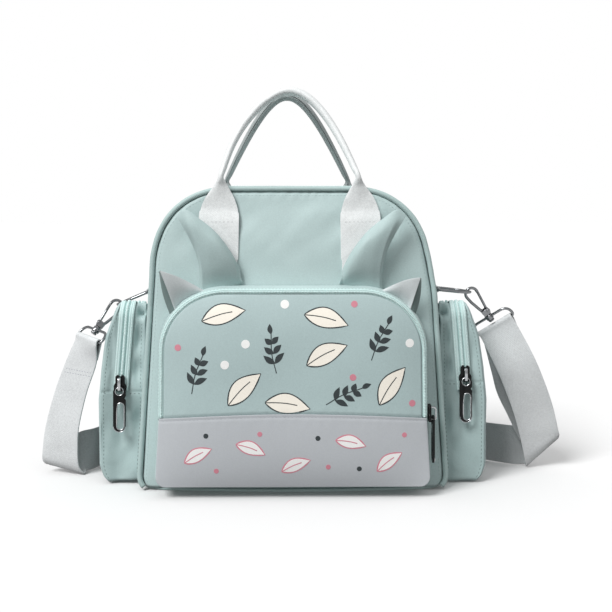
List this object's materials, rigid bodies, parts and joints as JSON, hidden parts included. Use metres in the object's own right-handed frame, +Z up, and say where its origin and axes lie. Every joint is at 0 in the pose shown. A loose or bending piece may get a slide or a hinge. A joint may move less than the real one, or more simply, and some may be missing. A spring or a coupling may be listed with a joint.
{
  "type": "diaper backpack",
  "caption": "Soft arch-topped diaper bag with a standing front pocket, side pockets, folded webbing handles, ear flaps and a clip-on shoulder strap.",
  "frame": {"origin": "centre of the base's underside, on the surface that the bag stands on", "axes": "+X to the viewer's right across the front, +Y from front to back, +Z up"},
  "size_m": [0.5577, 0.1961, 0.4076],
  "materials": {
    "mint_cloth": "matte",
    "grey_cloth": "matte",
    "zip_tape": "satin",
    "webbing": "matte",
    "black_metal": "gloss",
    "gunmetal": "polished"
  },
  "bodies": {
    "bag": {"front_panel": "mint_cloth", "back_panel": "mint_cloth", "side_gusset": "mint_cloth", "base_panel": "mint_cloth", "front_piping": "mint_cloth", "main_zip": "zip_tape", "pocket_wall": "mint_cloth", "pocket_face_upper": "mint_cloth", "pocket_face_lower": "grey_cloth", "pocket_zip": "zip_tape", "pocket_slider": "black_metal", "handle_front": "webbing", "handle_back": "webbing", "shoulder_strap": "webbing", "ear_left": "mint_cloth", "side_pocket_left": "mint_cloth", "side_zip_left": "zip_tape", "side_slider_left": "black_metal", "ring_tab_left": "webbing", "d_ring_left": "gunmetal", "strap_loop_left": "gunmetal", "ear_right": "mint_cloth", "side_pocket_right": "mint_cloth", "side_zip_right": "zip_tape", "side_slider_right": "black_metal", "ring_tab_right": "webbing", "d_ring_right": "gunmetal", "strap_loop_right": "gunmetal"},
    "front_zip_pull": {"pocket_pull": "black_metal"},
    "left_zip_pull": {"side_pull_left": "black_metal"},
    "right_zip_pull": {"side_pull_right": "black_metal"},
    "left_hook": {"hook_left": "gunmetal"},
    "right_hook": {"hook_right": "gunmetal"},
    "left_gate": {"hook_gate_left": "gunmetal"},
    "right_gate": {"hook_gate_right": "gunmetal"}
  },
  "joints": [
    {"name": "front_pull_swing", "type": "hinge", "parent": "bag", "child": "front_zip_pull", "pos_m": [0.1374, -0.091, 0.078], "axis": [0, -1, 0], "range_deg": [0, 140]},
    {"name": "left_pull_swing", "type": "hinge", "parent": "bag", "child": "left_zip_pull", "pos_m": [-0.176, -0.0535, 0.1005], "axis": [-1, 0, 0], "range_deg": [0, 140]},
    {"name": "right_pull_swing", "type": "hinge", "parent": "bag", "child": "right_zip_pull", "pos_m": [0.176, -0.0535, 0.1095], "axis": [-1, 0, 0], "range_deg": [0, 140]},
    {"name": "left_hook_swivel", "type": "hinge", "parent": "bag", "child": "left_hook", "pos_m": [-0.20701, -0.01451, 0.15377], "axis": [-0.5652, -0.4093, -0.7163], "range_deg": [-25, 25]},
    {"name": "right_hook_swivel", "type": "hinge", "parent": "bag", "child": "right_hook", "pos_m": [0.2117, 0.00718, 0.16474], "axis": [0.6132, 0.201, -0.7639], "range_deg": [-25, 25]},
    {"name": "left_gate_hinge", "type": "hinge", "parent": "left_hook", "child": "left_gate", "pos_m": [-0.20481, -0.01144, 0.16075], "axis": [-0.2535, 0.9124, -0.3213], "range_deg": [0, 20], "stiffness_Nm_per_rad": 0.02},
    {"name": "right_gate_hinge", "type": "hinge", "parent": "right_hook", "child": "right_gate", "pos_m": [0.20913, 0.00567, 0.17209], "axis": [0.1258, -0.9796, -0.1568], "range_deg": [0, 20], "stiffness_Nm_per_rad": 0.02}
  ]
}
